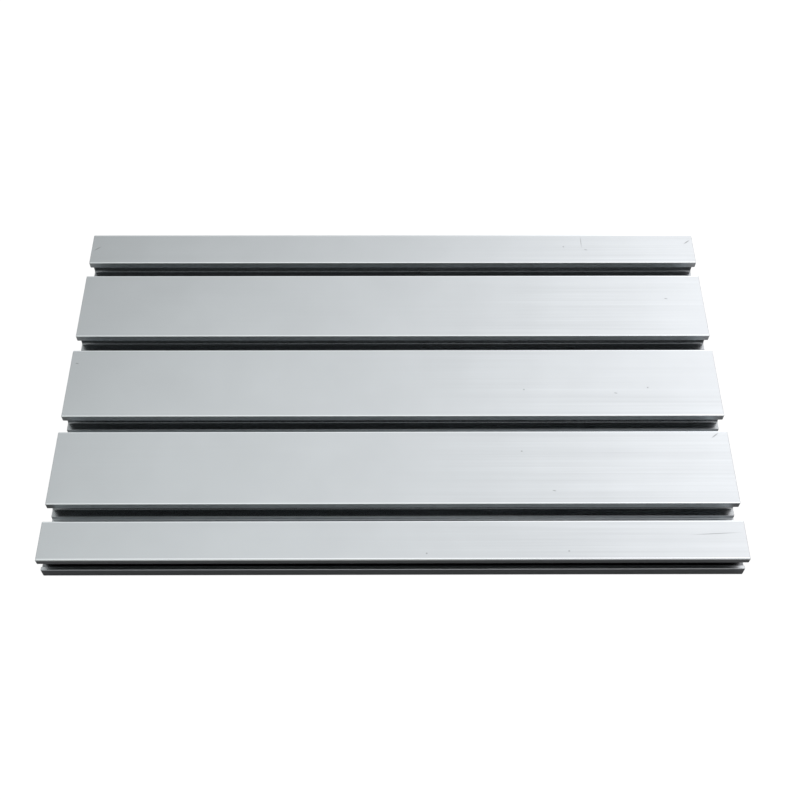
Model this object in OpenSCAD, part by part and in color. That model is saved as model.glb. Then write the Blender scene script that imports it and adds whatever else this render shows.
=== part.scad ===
// Slotted aluminium plate, one extrusion.
// The section is drawn in the Y-Z plane and carried along X, the direction of extrusion.
// Origin: centre of the underside. X is the length, Y the width, Z up.

/* [Plate] */
// Length along the slots, as sawn
plate_length = 300; // [60:1:1200]
// Width across the slots
plate_width = 180; // [90:1:400]
// Thickness of the plate
plate_thickness = 15; // [12.5:0.5:30]
// Radius of the four long outer corners
outer_radius = 0.6; // [0.1:0.1:1.5]

/* [Top slots] */
// Distance between the middles of neighbouring slots
slot_pitch = 45; // [30:0.5:80]
// Width of the mouth that shows in the top face
mouth_width = 8.2; // [5:0.1:12]
// Width of the chamber under the lips
chamber_width = 16.2; // [13:0.1:20]
// Thickness of the lips that a slot nut pulls against
lip_thickness = 3.6; // [2.5:0.1:5]
// Radius of the chamber's long inner corners
chamber_radius = 0.8; // [0.1:0.1:1.5]
// Radius of the edges along each mouth
mouth_radius = 0.3; // [0.1:0.05:0.8]
// Width of the relief channel in the chamber floor, for bolt tips
relief_width = 7.8; // [4:0.1:11]
// Depth of the relief channel
relief_depth = 2; // [0.5:0.1:2.5]
// Metal left under the relief channel
floor_web = 1.8; // [1.2:0.1:3]

/* [Side slots] */
// Height of the mouth in each long edge
side_mouth = 6; // [3:0.1:6]
// Metal above the side mouth, up to the top face
side_upper_lip = 3.4; // [2.5:0.1:4]
// Thickness of the side lips, inwards from the edge
side_lip_depth = 1.8; // [1:0.1:2]
// How far the chamber behind the side lips reaches above and below the side mouth
side_undercut = 1.5; // [0.5:0.1:2]
// Depth of the chamber behind the side lips
side_chamber_depth = 3.7; // [2:0.1:4]

/* [Hollow cells] */
// Number of hollow cells between two neighbouring slots
cells_per_bay = 2; // [1:1:3]
// Wall between a slot chamber and the cell beside it
cell_wall = 2.4; // [1.6:0.1:3]
// Rib between neighbouring cells
cell_rib = 2.4; // [1.6:0.1:3]
// Metal over the cells, up to the top face
top_skin = 3.6; // [2:0.1:4]
// Metal under the cells, down to the underside
bottom_skin = 2.6; // [1.6:0.1:4]
// Radius of the cells' long corners
cell_radius = 1; // [0.2:0.1:1.5]

/* [Hidden] */

// Segments in a full circle
$fn = 48;
// Overlap that lets one cut run into the next
overlap = 0.01;

// As many slots as the width holds at this pitch
slot_count = floor(plate_width / slot_pitch);
bay_count = slot_count - 1;
// Heights above the underside
chamber_roof = plate_thickness - lip_thickness;
chamber_floor = floor_web + relief_depth;
side_mouth_middle = plate_thickness - side_upper_lip - side_mouth / 2;
side_chamber_height = side_mouth + 2 * side_undercut;
// Room between two neighbouring chambers, and what each cell gets of it
bay_width = slot_pitch - chamber_width;
cell_width = (bay_width - 2 * cell_wall - (cells_per_bay - 1) * cell_rib) / cells_per_bay;
cell_height = plate_thickness - top_skin - bottom_skin;

// Rectangle with round corners, centred across, standing on the X axis
module rounded_slab(width, height, radius) {
    translate([-width / 2 + radius, 0]) square([width - 2 * radius, height]);
    translate([-width / 2, radius]) square([width, height - 2 * radius]);
    for (side = [-1, 1], level = [radius, height - radius])
        translate([side * (width / 2 - radius), level]) circle(r = radius);
}

// What a rounding tool takes off a corner that lies at the origin, metal at -X and -Y
module corner_waste(radius) {
    difference() {
        translate([-radius, -radius]) square(radius + overlap);
        translate([-radius, -radius]) circle(r = radius);
    }
}

// One top slot: mouth with eased edges, chamber, relief channel in its floor
module top_slot() {
    translate([0, plate_thickness]) {
        translate([-mouth_width / 2, -lip_thickness - chamber_radius])
            square([mouth_width, lip_thickness + chamber_radius + overlap]);
        for (side = [0, 1])
            mirror([side, 0]) translate([-mouth_width / 2, 0]) corner_waste(mouth_radius);
    }
    translate([0, chamber_floor])
        rounded_slab(chamber_width, chamber_roof - chamber_floor, chamber_radius);
    translate([-relief_width / 2, floor_web])
        square([relief_width, relief_depth + chamber_radius]);
}

// One side slot, cut inwards from a long edge that lies at x = 0, metal at -X
module side_slot() {
    translate([-side_lip_depth - overlap, side_mouth_middle - side_mouth / 2])
        square([side_lip_depth + 2 * overlap, side_mouth]);
    translate([-side_lip_depth - side_chamber_depth, side_mouth_middle - side_chamber_height / 2])
        square([side_chamber_depth, side_chamber_height]);
    for (side = [0, 1])
        translate([0, side_mouth_middle]) mirror([0, side])
            translate([0, -side_mouth / 2]) corner_waste(mouth_radius);
}

// The hollow cells between two neighbouring slots, centred on the bay
module bay_cells() {
    cell_step = cell_width + cell_rib;
    for (cell = [0 : cells_per_bay - 1])
        translate([(cell - (cells_per_bay - 1) / 2) * cell_step, bottom_skin])
            rounded_slab(cell_width, cell_height, cell_radius);
}

// The whole section
module plate_section() {
    difference() {
        rounded_slab(plate_width, plate_thickness, outer_radius);
        for (slot = [0 : slot_count - 1])
            translate([(slot - (slot_count - 1) / 2) * slot_pitch, 0]) top_slot();
        for (bay = [0 : bay_count - 1])
            translate([(bay - (bay_count - 1) / 2) * slot_pitch, 0]) bay_cells();
        for (side = [0, 1])
            mirror([side, 0]) translate([plate_width / 2, 0]) side_slot();
    }
}

// The extrusion, sawn square at both ends
module slotted_plate() {
    color([0.76, 0.78, 0.80])
        rotate([90, 0, 90])
            linear_extrude(height = plate_length, center = true)
                plate_section();
}

slotted_plate();
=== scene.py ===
import bpy
import math
import numpy as np
from mathutils import Matrix, Vector
from mathutils.geometry import delaunay_2d_cdt


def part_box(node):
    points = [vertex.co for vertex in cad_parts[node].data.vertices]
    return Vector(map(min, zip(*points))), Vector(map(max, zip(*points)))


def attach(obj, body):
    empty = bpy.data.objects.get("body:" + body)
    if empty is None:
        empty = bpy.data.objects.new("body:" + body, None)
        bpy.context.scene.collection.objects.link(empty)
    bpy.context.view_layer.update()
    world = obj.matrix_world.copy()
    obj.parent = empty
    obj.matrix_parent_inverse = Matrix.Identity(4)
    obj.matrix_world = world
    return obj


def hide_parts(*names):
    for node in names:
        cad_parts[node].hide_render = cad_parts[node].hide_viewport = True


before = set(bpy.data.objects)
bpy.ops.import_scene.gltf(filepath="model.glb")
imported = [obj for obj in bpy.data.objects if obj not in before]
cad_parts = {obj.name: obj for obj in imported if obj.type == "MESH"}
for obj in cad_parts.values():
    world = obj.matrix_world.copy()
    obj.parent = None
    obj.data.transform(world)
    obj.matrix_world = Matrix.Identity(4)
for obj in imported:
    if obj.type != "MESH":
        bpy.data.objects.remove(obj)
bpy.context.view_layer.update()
mm = 0.001

# ---------------------------------------------------------------------------------------------
# The plate's section. The real plate is one extrusion of soft aluminium alloy: four T-slots open
# in its top face, a narrower slot in each long edge, and hollow cells under the strips between
# the slots. The die leaves no corner quite sharp, so every corner here is a small arc.
# ---------------------------------------------------------------------------------------------
plate_low, plate_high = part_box("slotted_plate")
length, width, thickness = plate_high - plate_low
slot_pitch = 45 * mm
slot_count = int(width / slot_pitch + 0.5)
mouth_width = 8.2 * mm
lip_thickness = 3.6 * mm
chamber_width = 16.2 * mm
chamber_radius = 0.8 * mm
relief_width = 7.8 * mm
relief_depth = 2.0 * mm
floor_web = 1.8 * mm
side_mouth = 6.0 * mm
side_upper_lip = 3.4 * mm
side_lip_depth = 1.8 * mm
side_undercut = 1.5 * mm
side_chamber_depth = 3.7 * mm
cell_size = (10.8 * mm, 8.8 * mm)
cell_step = 13.2 * mm
cell_bottom = 2.6 * mm
cell_radius = 1.0 * mm
outer_radius = 0.6 * mm
mouth_radius = 0.3 * mm
inner_edge_radius = 0.3 * mm
arc_steps = 6
worn_highlight_margin = 0.4 * mm


def rounded_outline(corners):
    """A closed outline with an arc at every corner, with its normals and its mask of edge wear and
    painted highlight.

    Each row of corners is a point and a radius, with the metal to the left of the way round.
    The arc leaves the sides at r * tan(turn / 2) before the point, its heading turns evenly
    through the corner, and each of its points lies at the radius from the centre, along the
    right-hand normal of the heading. That normal points out of the metal. One more point lies
    on the side before the arc and one on the side after it, where the corner's worn edge and its
    painted highlight end. The mask is 1 on an arc that turns outward at the top face, and nothing
    elsewhere.
    """
    point, radius = corners[:, :2], corners[:, 2]
    step = point - np.roll(point, 1, axis=0)
    heading = np.arctan2(step[:, 1], step[:, 0])
    turn = (np.roll(heading, -1) - heading + math.pi) % (2 * math.pi) - math.pi
    way = np.stack([np.cos(heading), np.sin(heading)], axis=1)
    left = np.stack([-way[:, 1], way[:, 0]], axis=1)
    bend = (np.sign(turn) * radius)[:, None]
    centre = point - way * (radius * np.tan(np.abs(turn) / 2))[:, None] + left * bend
    angle = heading[:, None] + turn[:, None] * np.linspace(0, 1, arc_steps + 1)
    normal = np.stack([np.sin(angle), -np.cos(angle)], axis=2)
    place = centre[:, None] + bend[:, None] * normal
    before = place[:, :1] - worn_highlight_margin * way[:, None]
    after = place[:, -1:] + worn_highlight_margin * np.roll(way, -1, axis=0)[:, None]
    place = np.concatenate([before, place, after], axis=1)
    normal = np.concatenate([normal[:, :1], normal, normal[:, -1:]], axis=1)
    # Edge wear and a painted highlight: the mask of the upper edges that turn outward
    rubbed_and_highlighted = (turn > 0) & (point[:, 1] > thickness - radius)
    wear_and_highlight = np.repeat(rubbed_and_highlighted[:, None], arc_steps + 3, axis=1) * 1.0
    wear_and_highlight[:, [0, -1]] = 0
    return place.reshape(-1, 2), normal.reshape(-1, 2), wear_and_highlight.ravel()


def mirrored(half):
    """The half outline followed by its mirror image across y = 0, walked on in the same sense."""
    return np.vstack([half, (half * [-1, 1, 1])[::-1]])


chamber_floor = floor_web + relief_depth
chamber_roof = thickness - lip_thickness
top_slot = mirrored(np.array([
    [mouth_width / 2, thickness, mouth_radius],
    [mouth_width / 2, chamber_roof, inner_edge_radius],
    [chamber_width / 2, chamber_roof, chamber_radius],
    [chamber_width / 2, chamber_floor, chamber_radius],
    [relief_width / 2, chamber_floor, inner_edge_radius],
    [relief_width / 2, floor_web, inner_edge_radius],
]))
slot_middles = (np.arange(slot_count)[::-1] - (slot_count - 1) / 2) * slot_pitch
top_slots = [top_slot + [middle, 0, 0] for middle in slot_middles]

side_top = thickness - side_upper_lip
side_bottom = side_top - side_mouth
lip_back = width / 2 - side_lip_depth
side_back = lip_back - side_chamber_depth
right_edge = np.array([
    [width / 2, 0, outer_radius],
    [width / 2, side_bottom, mouth_radius],
    [lip_back, side_bottom, inner_edge_radius],
    [lip_back, side_bottom - side_undercut, inner_edge_radius],
    [side_back, side_bottom - side_undercut, inner_edge_radius],
    [side_back, side_top + side_undercut, inner_edge_radius],
    [lip_back, side_top + side_undercut, inner_edge_radius],
    [lip_back, side_top, inner_edge_radius],
    [width / 2, side_top, mouth_radius],
    [width / 2, thickness, outer_radius],
])
left_edge = (right_edge * [-1, 1, 1])[::-1]
outlines = [rounded_outline(np.vstack([right_edge, *top_slots, left_edge]))]

half_cell = np.array([
    [-cell_size[0] / 2, cell_bottom + cell_size[1], cell_radius],
    [-cell_size[0] / 2, cell_bottom, cell_radius],
])
cell = mirrored(half_cell)[::-1]
for bay_middle in (slot_middles[:-1] + slot_middles[1:]) / 2:
    for side in (-1, 1):
        outlines.append(rounded_outline(cell + [bay_middle + side * cell_step / 2, 0, 0]))

# ---------------------------------------------------------------------------------------------
# The plate's skin. The section is carried straight along X, as it left the die. Both ends are
# sawn square, and a fine chamfer stands for the burr that was taken off with a file.
# ---------------------------------------------------------------------------------------------
deburr = 0.25 * mm


def swept_skin(place, normal, stations, inset):
    """The outline carried along X: one ring of points for each station, in whole arrays.

    A ring is the outline moved into the metal by that station's inset. Every normal is the
    outline's own, but for the first and last ring, whose normals look straight along X, so the
    chamfer between shades as a small round.
    """
    ring = place[None] - inset[:, None, None] * normal[None]
    along = np.broadcast_to(stations[:, None, None], ring.shape[:2] + (1,))
    points = np.concatenate([along, ring], axis=2)
    normals = np.zeros_like(points)
    normals[1:-1, :, 1:] = normal
    normals[0, :, 0] = -1
    normals[-1, :, 0] = 1
    return points, normals


def ring_quads(rings, count, first):
    """Quads between neighbouring rings: (i, j), (i, j+1), (i+1, j+1), (i+1, j), closed in j."""
    i, j = np.meshgrid(np.arange(rings - 1), np.arange(count), indexing="ij")
    k = (j + 1) % count
    quads = np.stack([i * count + j, i * count + k, (i + 1) * count + k, (i + 1) * count + j], axis=2)
    return quads.reshape(-1, 4) + first


def end_triangles(rings):
    """Triangles that fill the outer ring and leave the cells open, as indices into the rings.

    The cells are convex, so a triangle lies in one when all its corners do.
    """
    fill_outer_ring = 1
    merge_distance = 1e-9
    counts = [len(ring) for ring in rings]
    edges, first = [], 0
    for count in counts:
        own = first + np.arange(count)
        edges += np.stack([own, np.roll(own, -1)], axis=1).tolist()
        first += count
    _, _, faces, sources, _, _ = delaunay_2d_cdt(
        np.vstack(rings).tolist(), edges, [], fill_outer_ring, merge_distance)
    ring_point = np.array([merged[0] for merged in sources])
    triangles = ring_point[np.array(faces)]
    owners = np.repeat(np.arange(len(rings)), counts)[triangles]
    in_cell = (owners[:, 0] > 0) & (owners[:, 0] == owners[:, 1]) & (owners[:, 1] == owners[:, 2])
    return triangles[~in_cell]


stations = np.array([-length / 2, -length / 2 + deburr, length / 2 - deburr, length / 2])
inset = np.array([deburr, 0, 0, deburr])
points, normals, wear_and_highlight, quads, start_ring, end_ring = [], [], [], [], [], []
first = 0
for place, normal, edge in outlines:
    ring_points, ring_normals = swept_skin(place, normal, stations, inset)
    count = len(place)
    points.append(ring_points.reshape(-1, 3))
    normals.append(ring_normals.reshape(-1, 3))
    wear_and_highlight.append(np.tile(edge, len(stations)))
    quads.append(ring_quads(len(stations), count, first))
    start_ring.append(first + np.arange(count))
    first += len(stations) * count
    end_ring.append(first - count + np.arange(count))
points, normals, wear_and_highlight = np.vstack(points), np.vstack(normals), np.concatenate(wear_and_highlight)
triangles = end_triangles([place - deburr * normal for place, normal, _ in outlines])
quads = np.vstack(quads)
faces = (quads.tolist() + np.concatenate(end_ring)[triangles].tolist()
         + np.concatenate(start_ring)[triangles[:, ::-1]].tolist())

plate_mesh = bpy.data.meshes.new("extruded_plate")
plate_mesh.from_pydata(points.tolist(), [], faces)
plate_mesh.shade_smooth()
plate_mesh.normals_split_custom_set_from_vertices(normals.tolist())
# The mask of edge wear and painted highlight on the upper edges
plate_mesh.attributes.new("edge_wear_and_highlight", "FLOAT", "POINT").data.foreach_set("value", wear_and_highlight)

# How far each point lies inside the slots, the mask of their painted shade: 1 at the back of a lip, and
# more beyond it
side_depth = width / 2 - np.abs(points[:, 1])
height_left = np.minimum(thickness - points[:, 2], points[:, 2])
in_side_slot = (side_depth > mouth_radius) & (side_depth < width / 2 - side_back + mouth_radius)
in_side_slot &= height_left > outer_radius
inward = np.minimum(height_left, side_depth) / lip_thickness
inward[in_side_slot] = side_depth[in_side_slot] / side_lip_depth
plate_mesh.attributes.new("inward", "FLOAT", "POINT").data.foreach_set("value", inward)

# Material slot 0 is the drawn faces, and slot 1 the sawn ends with their chamfers
drawn_face = np.abs(points[quads, 0].mean(axis=1)) < length / 2 - deburr
sawn_slot = np.ones(len(faces), dtype=np.int32)
sawn_slot[:len(quads)][drawn_face] = 0
plate_mesh.polygons.foreach_set("material_index", sawn_slot)
plate = bpy.data.objects.new("extruded_plate", plate_mesh)
bpy.context.scene.collection.objects.link(plate)

# ---------------------------------------------------------------------------------------------
# What both finishes of the plate are made with: noise, arithmetic and ramps between shader
# sockets, and the fine grain that etching left on the metal.
# ---------------------------------------------------------------------------------------------
def stretched_noise(tree, per_metre, detail, roughness):
    """Noise on object coordinates, with its own number of features per metre along X, Y and Z."""
    coordinates = tree.nodes.new("ShaderNodeTexCoord")
    mapping = tree.nodes.new("ShaderNodeMapping")
    mapping.inputs["Scale"].default_value = per_metre
    noise = tree.nodes.new("ShaderNodeTexNoise")
    noise.inputs["Scale"].default_value = 1
    noise.inputs["Detail"].default_value = detail
    noise.inputs["Roughness"].default_value = roughness
    tree.links.new(coordinates.outputs["Object"], mapping.inputs["Vector"])
    tree.links.new(mapping.outputs["Vector"], noise.inputs["Vector"])
    return noise.outputs["Fac"]


def calc(tree, operation, *operands):
    """A Math node; each operand is a socket or a number."""
    node = tree.nodes.new("ShaderNodeMath")
    node.operation = operation
    for socket, operand in zip(node.inputs, operands):
        if isinstance(operand, (int, float)):
            socket.default_value = operand
        else:
            tree.links.new(operand, socket)
    return node.outputs[0]


def ramp_value(tree, value, low, high, start, end, smooth=True):
    """As value goes from low to high, start goes to end, eased at both ends if smooth."""
    node = tree.nodes.new("ShaderNodeMapRange")
    node.interpolation_type = "SMOOTHSTEP" if smooth else "LINEAR"
    for name, number in (("From Min", low), ("From Max", high), ("To Min", start), ("To Max", end)):
        node.inputs[name].default_value = number
    tree.links.new(value, node.inputs["Value"])
    return node.outputs["Result"]


def shade_colour(tree, shader, tint, value):
    """The shader's base colour: the tint times the value."""
    colour = tree.nodes.new("ShaderNodeVectorMath")
    colour.operation = "SCALE"
    colour.inputs[0].default_value = tint
    tree.links.new(value, colour.inputs["Scale"])
    tree.links.new(colour.outputs[0], shader.inputs["Base Color"])


def shade_relief(tree, shader, height, distance):
    """The shader's bump, in which a height of 1 stands for the distance."""
    bump = tree.nodes.new("ShaderNodeBump")
    bump.inputs["Strength"].default_value = 1
    bump.inputs["Distance"].default_value = distance
    tree.links.new(height, bump.inputs["Height"])
    tree.links.new(bump.outputs["Normal"], shader.inputs["Normal"])


def etched_grain_group():
    """The grain's node group: a fine Height and a soft Tone about 0.5, both scaled by Amount."""
    pits_per_metre = (5200, 5200, 5200)
    clouds_per_metre = (45, 45, 45)
    group = bpy.data.node_groups.new("etched_grain", "ShaderNodeTree")
    group.interface.new_socket("Amount", in_out="INPUT", socket_type="NodeSocketFloat")
    group.interface.new_socket("Height", in_out="OUTPUT", socket_type="NodeSocketFloat")
    group.interface.new_socket("Tone", in_out="OUTPUT", socket_type="NodeSocketFloat")
    amount = group.nodes.new("NodeGroupInput").outputs["Amount"]
    results = group.nodes.new("NodeGroupOutput").inputs
    pits = stretched_noise(group, pits_per_metre, detail=2, roughness=0.6)
    clouds = stretched_noise(group, clouds_per_metre, detail=2, roughness=0.5)
    group.links.new(calc(group, "MULTIPLY", pits, amount), results["Height"])
    tone = calc(group, "MULTIPLY_ADD", calc(group, "SUBTRACT", clouds, 0.5), amount, 0.5)
    group.links.new(tone, results["Tone"])
    return group


grain_group = etched_grain_group()


def placed_grain(tree, amount):
    """One use of the etched grain in a material."""
    node = tree.nodes.new("ShaderNodeGroup")
    node.node_tree = grain_group
    node.inputs["Amount"].default_value = amount
    return node


# ---------------------------------------------------------------------------------------------
# The anodised finish of the drawn faces: etched satin, with faint lines that the die dragged
# along the bar, painted shade in slots, rubbed top edges with painted highlight, dents from use.
# ---------------------------------------------------------------------------------------------
anodised = bpy.data.materials.new("anodised_aluminium")
anodised.use_nodes = True
tree = anodised.node_tree
shader = tree.nodes["Principled BSDF"]
shader.inputs["Metallic"].default_value = 1
place_on_plate = tree.nodes.new("ShaderNodeTexCoord")

# Die lines, fine ones and broad ones, drawn out along X and strongest where the top is scoured
fine_lines = stretched_noise(tree, per_metre=(7, 900, 900), detail=3, roughness=0.6)
broad_lines = stretched_noise(tree, per_metre=(5, 220, 220), detail=2, roughness=0.5)
fine_share = 0.6
lines = calc(tree, "ADD", calc(tree, "MULTIPLY", fine_lines, fine_share),
             calc(tree, "MULTIPLY", broad_lines, 1 - fine_share))
scoured_from = -10 * mm
scoured_fully = 90 * mm
unscoured_share = 0.15
axes = tree.nodes.new("ShaderNodeSeparateXYZ")
tree.links.new(place_on_plate.outputs["Object"], axes.inputs[0])
scoured = ramp_value(tree, axes.outputs["X"], low=scoured_from, high=scoured_fully,
                     start=unscoured_share, end=1.0)
patch_noise = stretched_noise(tree, per_metre=(9, 40, 40), detail=1, roughness=0.5)
patches = ramp_value(tree, patch_noise, low=0.4, high=0.62, start=0.25, end=1.5)
line_strength = calc(tree, "MULTIPLY", scoured, patches)
line_tone = calc(tree, "MULTIPLY", calc(tree, "SUBTRACT", lines, 0.5), line_strength)

# Dents and scratches of the top face, by shape, in millimetres: half length, half width, turn in
# degrees, and the middle of each one on X and Y
dents = (
    (0.5, 0.45, 0, ((60, -4), (117, -3), (14, -87), (74, -86), (85, 82), (57, -37))),
    (1.0, 0.32, -10, ((102, -6), (132, 49), (70, -57), (-147, 11), (96, 80))),
    (2.4, 0.35, 38, ((147, 85), (-147, 81), (144, -29))),
    (12.0, 0.2, 3, ((137, -78),)),
    (0.2, 4.0, 1, ((94, 85),)),
)
dent_floor = 0.2
dent_rim = 1.15
nearest = None
for half_length, half_width, turned, middles in dents:
    shape = tree.nodes.new("ShaderNodeMapping")
    shape.vector_type = "TEXTURE"
    shape.inputs["Rotation"].default_value = (0, 0, math.radians(turned))
    shape.inputs["Scale"].default_value = (half_length * mm, half_width * mm, mm)
    tree.links.new(place_on_plate.outputs["Object"], shape.inputs["Vector"])
    back_turn = Matrix.Rotation(-math.radians(turned), 3, "Z")
    for middle_x, middle_y in middles:
        middle = back_turn @ Vector((middle_x, middle_y, thickness / mm))
        reach = tree.nodes.new("ShaderNodeVectorMath")
        reach.operation = "DISTANCE"
        reach.inputs[1].default_value = (middle.x / half_length, middle.y / half_width, middle.z)
        tree.links.new(shape.outputs["Vector"], reach.inputs[0])
        reached = reach.outputs["Value"]
        nearest = reached if nearest is None else calc(tree, "MINIMUM", nearest, reached)
dent = ramp_value(tree, nearest, low=dent_floor, high=dent_rim, start=1.0, end=0.0)

# The masks that the mesh carries: the rubbed edges with their painted highlight, and the slots' insides
# behind the lips, where shade is painted
wear_and_highlight_mask = tree.nodes.new("ShaderNodeAttribute")
wear_and_highlight_mask.attribute_name = "edge_wear_and_highlight"
worn_and_highlight = wear_and_highlight_mask.outputs["Fac"]
inward_mask = tree.nodes.new("ShaderNodeAttribute")
inward_mask.attribute_name = "inward"
# Painted shade, growing from the back of the lips into the slots
painted_slot_shade = ramp_value(tree, inward_mask.outputs["Fac"], low=0.7, high=1.5, start=0.0, end=1.0)

# Colour: clear anodised metal is a cool grey
anodised_tint = (0.596, 0.632, 0.652)
line_contrast = 0.30
worn_highlight_gain = 0.58
dent_loss = 0.38
slot_shade_loss = 0.75
grain = placed_grain(tree, amount=1.0)
clouds = ramp_value(tree, grain.outputs["Tone"], low=0.2, high=0.8, start=0.975, end=1.025, smooth=False)
value = calc(tree, "MULTIPLY", calc(tree, "MULTIPLY_ADD", line_tone, line_contrast, 1.0), clouds)
# Painted highlight: the rubbed upper edges are raised towards white, as wear and as a highlight
value = calc(tree, "MULTIPLY_ADD", worn_and_highlight, worn_highlight_gain, value)
value = calc(tree, "MULTIPLY", value, calc(tree, "MULTIPLY_ADD", dent, -dent_loss, 1.0))
# Painted shade: the slots' insides are darkened
value = calc(tree, "MULTIPLY", value, calc(tree, "MULTIPLY_ADD", painted_slot_shade, -slot_shade_loss, 1.0))
shade_colour(tree, shader, anodised_tint, value)

# Roughness: each term is what one mark of the surface adds to the etched satin
satin_roughness = 0.32
rough = calc(tree, "MULTIPLY_ADD", line_tone, 0.12, satin_roughness)
for mark, added in ((worn_and_highlight, -0.04), (dent, 0.2), (painted_slot_shade, -0.12)):
    rough = calc(tree, "MULTIPLY_ADD", mark, added, rough)
tree.links.new(rough, shader.inputs["Roughness"])

# Relief: the depths are shares of one unit
relief_unit = 0.004 * mm
line_share = 0.6
grain_share = 0.25
dent_share = 4.0
line_height = calc(tree, "MULTIPLY", lines, line_share)
height = calc(tree, "MULTIPLY_ADD", grain.outputs["Height"], grain_share, line_height)
height = calc(tree, "MULTIPLY_ADD", dent, -dent_share, height)
shade_relief(tree, shader, height, relief_unit)
plate_mesh.materials.append(anodised)

# ---------------------------------------------------------------------------------------------
# The sawn finish of the ends: bare metal, cut after anodising, with the fine arcs that a
# circular blade leaves. They turn about the blade's hub, which was below the plate.
# ---------------------------------------------------------------------------------------------
sawn = bpy.data.materials.new("sawn_aluminium")
sawn.use_nodes = True
tree = sawn.node_tree
shader = tree.nodes["Principled BSDF"]
shader.inputs["Metallic"].default_value = 1

hub_y = 30 * mm
hub_z = -160 * mm
arcs_per_metre = 1200
cut_place = tree.nodes.new("ShaderNodeTexCoord")
from_hub = tree.nodes.new("ShaderNodeMapping")
from_hub.inputs["Location"].default_value = (0, -hub_y, -hub_z)
from_hub.inputs["Scale"].default_value = (0, 1, 1)
hub_reach = tree.nodes.new("ShaderNodeVectorMath")
hub_reach.operation = "LENGTH"
arc_noise = tree.nodes.new("ShaderNodeTexNoise")
arc_noise.noise_dimensions = "1D"
arc_noise.inputs["Scale"].default_value = arcs_per_metre
arc_noise.inputs["Detail"].default_value = 3
tree.links.new(cut_place.outputs["Object"], from_hub.inputs["Vector"])
tree.links.new(from_hub.outputs["Vector"], hub_reach.inputs[0])
tree.links.new(hub_reach.outputs["Value"], arc_noise.inputs["W"])
arcs = arc_noise.outputs["Fac"]

bare_tint = (0.69, 0.72, 0.735)
arc_depth = 0.02 * mm
grain_share = 0.2
grain = placed_grain(tree, amount=0.6)
clouds = ramp_value(tree, grain.outputs["Tone"], low=0.2, high=0.8, start=0.95, end=1.05, smooth=False)
arc_tone = ramp_value(tree, arcs, low=0.25, high=0.75, start=0.86, end=1.04, smooth=False)
shade_colour(tree, shader, bare_tint, calc(tree, "MULTIPLY", arc_tone, clouds))
rough = ramp_value(tree, arcs, low=0.3, high=0.7, start=0.30, end=0.46, smooth=False)
tree.links.new(rough, shader.inputs["Roughness"])
height = calc(tree, "MULTIPLY_ADD", grain.outputs["Height"], grain_share, arcs)
shade_relief(tree, shader, height, arc_depth)
plate_mesh.materials.append(sawn)

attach(plate, "root")
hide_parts("slotted_plate")

# ---------------------------------------------------------------------------------------------
# The floor. A pale studio table. To the lens it is near white, and what the metal mirrors of it
# is dim and lit from all round, with painted shade that is darkest in front of the plate.
# ---------------------------------------------------------------------------------------------
floor_size = 12.0
edge = floor_size / 2
floor_mesh = bpy.data.meshes.new("floor")
floor_mesh.from_pydata([(-edge, -edge, 0), (edge, -edge, 0), (edge, edge, 0), (-edge, edge, 0)], [],
                       [(0, 1, 2, 3)])
floor = bpy.data.objects.new("floor", floor_mesh)
bpy.context.scene.collection.objects.link(floor)
paper = bpy.data.materials.new("pale_table")
paper.use_nodes = True
tree = paper.node_tree
tree.nodes.remove(tree.nodes["Principled BSDF"])

# What the lens sees: a glow near white, with a little of the shadows on it
seen_tone = 0.14
seen_glow = 0.96
paper_shade = tree.nodes.new("ShaderNodeBsdfDiffuse")
paper_shade.inputs["Color"].default_value = (seen_tone, seen_tone, seen_tone, 1)
paper_glow = tree.nodes.new("ShaderNodeEmission")
paper_glow.inputs["Strength"].default_value = seen_glow
seen = tree.nodes.new("ShaderNodeAddShader")
tree.links.new(paper_shade.outputs[0], seen.inputs[0])
tree.links.new(paper_glow.outputs[0], seen.inputs[1])

# What the metal mirrors: the floor with painted shade, dark in front of the plate and lighter towards
# the back
painted_shade_dark = 0.12
painted_shade_light = 0.42
painted_shade_dark_to = -100 * mm
painted_shade_light_from = 50 * mm
floor_place = tree.nodes.new("ShaderNodeTexCoord")
floor_axes = tree.nodes.new("ShaderNodeSeparateXYZ")
tree.links.new(floor_place.outputs["Object"], floor_axes.inputs[0])
mirrored_floor = tree.nodes.new("ShaderNodeBsdfDiffuse")
mirrored_floor_shade = ramp_value(tree, floor_axes.outputs["Y"], low=painted_shade_dark_to, high=painted_shade_light_from,
                        start=painted_shade_dark, end=painted_shade_light)
tree.links.new(mirrored_floor_shade, mirrored_floor.inputs["Color"])

ray = tree.nodes.new("ShaderNodeLightPath")
mix = tree.nodes.new("ShaderNodeMixShader")
tree.links.new(ray.outputs["Is Camera Ray"], mix.inputs["Fac"])
tree.links.new(mirrored_floor.outputs[0], mix.inputs[1])
tree.links.new(seen.outputs[0], mix.inputs[2])
tree.links.new(mix.outputs[0], tree.nodes["Material Output"].inputs["Surface"])
floor_mesh.materials.append(paper)

# ---------------------------------------------------------------------------------------------
# The light. A dim dome with four soft panels: a band low down all round, one behind on the right,
# one overhead and one low on the left. The strips' tone rises from left to right in it.
# ---------------------------------------------------------------------------------------------
world = bpy.data.worlds.new("studio_dome")
bpy.context.scene.world = world
world.use_nodes = True
tree = world.node_tree
direction = tree.nodes.new("ShaderNodeTexCoord")

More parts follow.
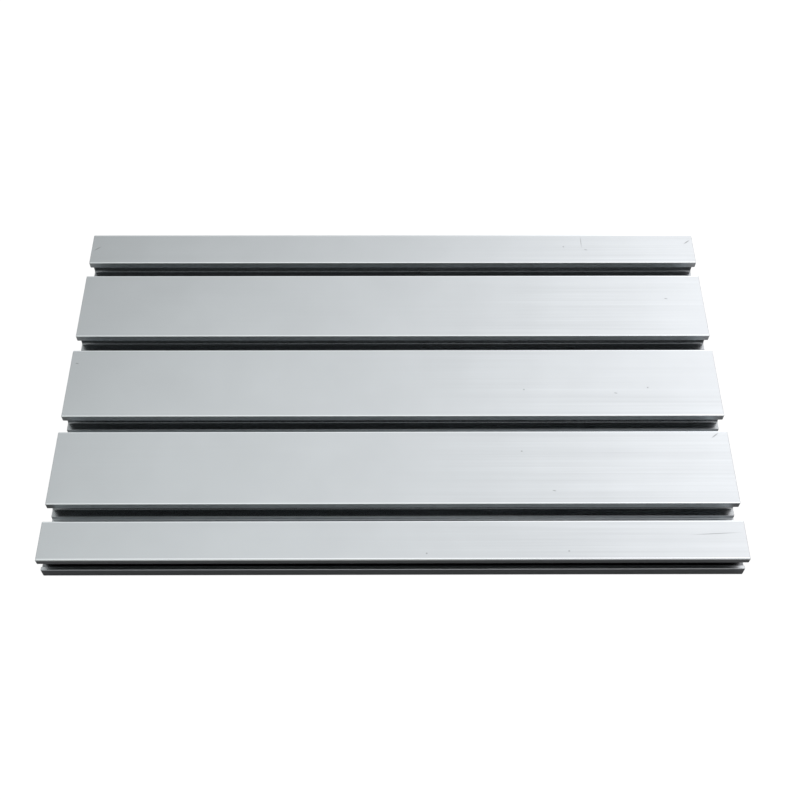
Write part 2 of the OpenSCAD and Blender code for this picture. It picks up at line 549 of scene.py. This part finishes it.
# Each panel: the way to its middle, the angles from there to where it is full and where it is
# gone, in degrees, and its strength
dome = 0.20
panels = (
    ((0.0, 0.0, -1.0), 115, 134, 0.45),
    ((0.77, 0.55, 0.33), 37, 50, 0.75),
    ((0.19, 0.22, 0.96), 28, 44, 0.87),
    ((-1.0, 0.1, 0.15), 15, 40, 0.65),
)
strength = dome
for way, full, gone, level in panels:
    facing = tree.nodes.new("ShaderNodeVectorMath")
    facing.operation = "DOT_PRODUCT"
    facing.inputs[1].default_value = (np.array(way) / np.linalg.norm(way)).tolist()
    tree.links.new(direction.outputs["Generated"], facing.inputs[0])
    glow = ramp_value(tree, facing.outputs["Value"], low=math.cos(math.radians(gone)),
                      high=math.cos(math.radians(full)), start=0.0, end=level)
    strength = calc(tree, "ADD", glow, strength)

# The light is faintly green on the left and faintly pink on the right
left_tint = (0.99, 1.0, 0.99, 1)
right_tint = (1.025, 0.99, 1.0, 1)
sides = tree.nodes.new("ShaderNodeSeparateXYZ")
tree.links.new(direction.outputs["Generated"], sides.inputs[0])
tint = tree.nodes.new("ShaderNodeMixRGB")
tint.inputs["Color1"].default_value = left_tint
tint.inputs["Color2"].default_value = right_tint
rightward = ramp_value(tree, sides.outputs["X"], low=-0.4, high=0.5, start=0.0, end=1.0)
tree.links.new(rightward, tint.inputs["Fac"])
lit = tree.nodes["Background"]
tree.links.new(tint.outputs[0], lit.inputs["Color"])
tree.links.new(strength, lit.inputs["Strength"])

# The lens sees plain white where it looks past the floor
backdrop = tree.nodes.new("ShaderNodeBackground")
backdrop.inputs["Color"].default_value = (1, 1, 1, 1)
ray = tree.nodes.new("ShaderNodeLightPath")
seen = tree.nodes.new("ShaderNodeMixShader")
tree.links.new(ray.outputs["Is Camera Ray"], seen.inputs["Fac"])
tree.links.new(lit.outputs[0], seen.inputs[1])
tree.links.new(backdrop.outputs[0], seen.inputs[2])
tree.links.new(seen.outputs[0], tree.nodes["World Output"].inputs["Surface"])

# ---------------------------------------------------------------------------------------------
# The camera. It stands in front of the plate and looks down on it, turned and rolled by about
# half a degree, as a camera held by hand. Turn and roll are in radians.
# ---------------------------------------------------------------------------------------------
lens_length = 53.35
sensor_width = 36.0
nearest_seen = 0.01
look_down = math.radians(56.47)
turn_right = 0.0094
roll = 0.0064
eye = (0.3 * mm, -308.4 * mm, thickness + 450.85 * mm)
camera_data = bpy.data.cameras.new("camera")
camera_data.lens = lens_length
camera_data.sensor_width = sensor_width
camera_data.clip_start = nearest_seen
camera = bpy.data.objects.new("camera", camera_data)
camera.matrix_world = (Matrix.Translation(eye) @ Matrix.Rotation(-turn_right, 4, "Z")
                       @ Matrix.Rotation(math.pi / 2 - look_down, 4, "X")
                       @ Matrix.Rotation(roll, 4, "Z"))
bpy.context.scene.collection.objects.link(camera)
bpy.context.scene.camera = camera
bpy.context.scene.view_settings.view_transform = "Standard"
